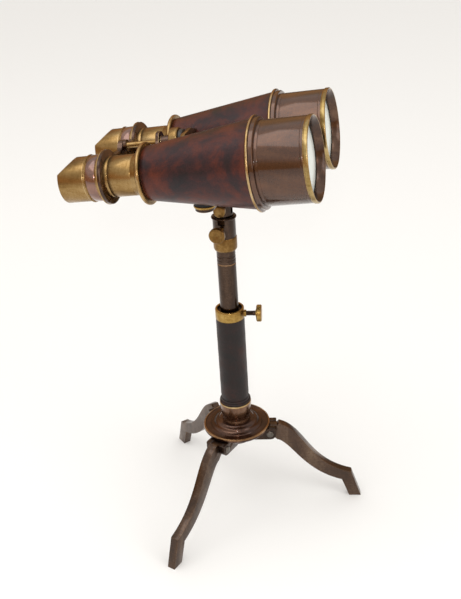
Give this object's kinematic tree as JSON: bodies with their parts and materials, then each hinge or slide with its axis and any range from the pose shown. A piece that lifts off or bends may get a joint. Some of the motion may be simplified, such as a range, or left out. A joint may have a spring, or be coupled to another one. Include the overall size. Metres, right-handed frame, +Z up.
{
  "type": "binoculars on table stand",
  "caption": "Antique-style brass and leather binoculars on a table stand with folding legs, sliding mast, pan and tilt head and centre focusing.",
  "frame": {"origin": "on the column's axis at floor level, in the plane of the three soles", "axes": "+Z up along the column, +X the way the objectives look (they are tilted up 6.7 degrees at rest), +Y towards the user's left-hand barrel"},
  "size_m": [0.1985, 0.164, 0.3323],
  "materials": {
    "brass": "polished antique brass, lightly tarnished",
    "aged_brass": "aged gold-brown brass",
    "dark_bronze": "dark brown bronzed brass, satin",
    "leg_bronze": "brown bronzed cast brass, satin",
    "barrel_leather": "mottled oxblood leather, polished",
    "column_leather": "dark oxblood leather",
    "black_leather": "black leather pad",
    "black_enamel": "matt black enamel",
    "steel": "plain steel, dulled",
    "lens_glass": "clear polished glass"
  },
  "bodies": {
    "stand": {"base_flange": "dark_bronze", "leg_hub": "dark_bronze", "hub_nut": "aged_brass", "neck_ferrule": "brass", "outer_tube": "brass", "column_leather": "column_leather", "leather_rim": "column_leather", "clamp_collar": "brass", "leg_pins": "steel"},
    "leg_right": {"leg_right": "leg_bronze"},
    "leg_back": {"leg_back": "leg_bronze"},
    "leg_left": {"leg_left": "leg_bronze"},
    "mast": {"mast_tube": "dark_bronze", "mast_foot": "brass", "head_socket": "dark_bronze", "socket_band": "brass"},
    "height_pad": {"height_pad": "brass"},
    "height_screw": {"height_screw": "brass"},
    "pan_pad": {"pan_pad": "aged_brass"},
    "pan_screw": {"pan_screw": "aged_brass"},
    "stem": {"head_stem": "dark_bronze", "tilt_nut": "brass"},
    "tilt_washer": {"tilt_washer": "brass"},
    "tilt_screw": {"tilt_screw": "brass"},
    "binoculars": {"bracket": "dark_bronze", "saddle_discs": "brass", "saddle_pads": "black_leather", "saddle_screws": "steel", "right_cone_shell": "aged_brass", "left_cone_shell": "aged_brass", "right_cone_leather": "barrel_leather", "left_cone_leather": "barrel_leather", "right_rear_ring": "brass", "left_rear_ring": "brass", "right_mid_ring": "brass", "left_mid_ring": "brass", "right_objective_tube": "dark_bronze", "left_objective_tube": "dark_bronze", "right_bezel": "brass", "left_bezel": "brass", "right_objective_cell": "black_enamel", "left_objective_cell": "black_enamel", "objective_crowns": "lens_glass", "objective_flints": "lens_glass", "rear_plate": "brass", "front_bracket": "aged_brass"},
    "focus_wheel": {"focus_wheel": "brass", "wheel_cap": "black_enamel"},
    "eyepieces": {"rear_bridge": "dark_bronze", "focus_rod": "brass", "right_drawtube": "aged_brass", "left_drawtube": "aged_brass", "right_eye_ring": "dark_bronze", "left_eye_ring": "dark_bronze", "right_eyecup": "aged_brass", "left_eyecup": "aged_brass", "eye_cells": "black_enamel", "eye_lenses": "lens_glass"}
  },
  "joints": [
    {"name": "leg_right_fold", "type": "hinge", "parent": "stand", "child": "leg_right", "pos_m": [0.02597, 0.00528, 0.0658], "axis": [-0.1994, 0.9799, 0], "range_deg": [0, 45]},
    {"name": "leg_back_fold", "type": "hinge", "parent": "stand", "child": "leg_back", "pos_m": [-0.01954, 0.0179, 0.0658], "axis": [-0.6756, -0.7373, 0], "range_deg": [0, 45]},
    {"name": "leg_left_fold", "type": "hinge", "parent": "stand", "child": "leg_left", "pos_m": [-0.00841, -0.02513, 0.0658], "axis": [0.9483, -0.3173, 0], "range_deg": [0, 45]},
    {"name": "mast_slide", "type": "slide", "parent": "stand", "child": "mast", "axis": [0, 0, 1], "range_m": [-0.046, 0.028]},
    {"name": "height_screw_travel", "type": "slide", "parent": "stand", "child": "height_pad", "axis": [0.9877, 0.1564, 0], "range_m": [0, 0.0008]},
    {"name": "height_screw_turn", "type": "hinge", "parent": "height_pad", "child": "height_screw", "pos_m": [0, 0, 0.1714], "axis": [0.9877, 0.1564, 0], "range_deg": [0, 360]},
    {"name": "head_pan", "type": "hinge", "parent": "mast", "child": "stem", "pos_m": [0, 0, 0.245], "axis": [0, 0, 1], "continuous": true},
    {"name": "pan_screw_travel", "type": "slide", "parent": "mast", "child": "pan_pad", "axis": [0, -1, 0], "range_m": [0, 0.0008]},
    {"name": "pan_screw_turn", "type": "hinge", "parent": "pan_pad", "child": "pan_screw", "pos_m": [0, -0.01, 0.2425], "axis": [0, -1, 0], "range_deg": [0, 360]},
    {"name": "tilt_screw_travel", "type": "slide", "parent": "stem", "child": "tilt_washer", "axis": [0, -1, 0], "range_m": [0, 0.0006]},
    {"name": "tilt_screw_turn", "type": "hinge", "parent": "tilt_washer", "child": "tilt_screw", "pos_m": [0, -0.008, 0.2567], "axis": [0, -1, 0], "range_deg": [0, 360]},
    {"name": "head_tilt", "type": "hinge", "parent": "stem", "child": "binoculars", "pos_m": [0, 0, 0.2567], "axis": [0, -1, 0], "range_deg": [-35, 40]},
    {"name": "eyepiece_slide", "type": "slide", "parent": "binoculars", "child": "eyepieces", "axis": [0.9932, 0, 0.1167], "range_m": [-0.004, 0.016]},
    {"name": "focus_turn", "type": "hinge", "parent": "binoculars", "child": "focus_wheel", "pos_m": [-0.03032, 0, 0.30399], "axis": [0.9932, 0, 0.1167], "range_deg": [-90, 360]}
  ],
  "couplings": [
    {"joint": "height_screw_turn", "follows": "height_screw_travel", "rad_per_m": 7854},
    {"joint": "pan_screw_turn", "follows": "pan_screw_travel", "rad_per_m": 7854},
    {"joint": "tilt_screw_turn", "follows": "tilt_screw_travel", "rad_per_m": 10472},
    {"joint": "focus_turn", "follows": "eyepiece_slide", "rad_per_m": 392.7}
  ]
}
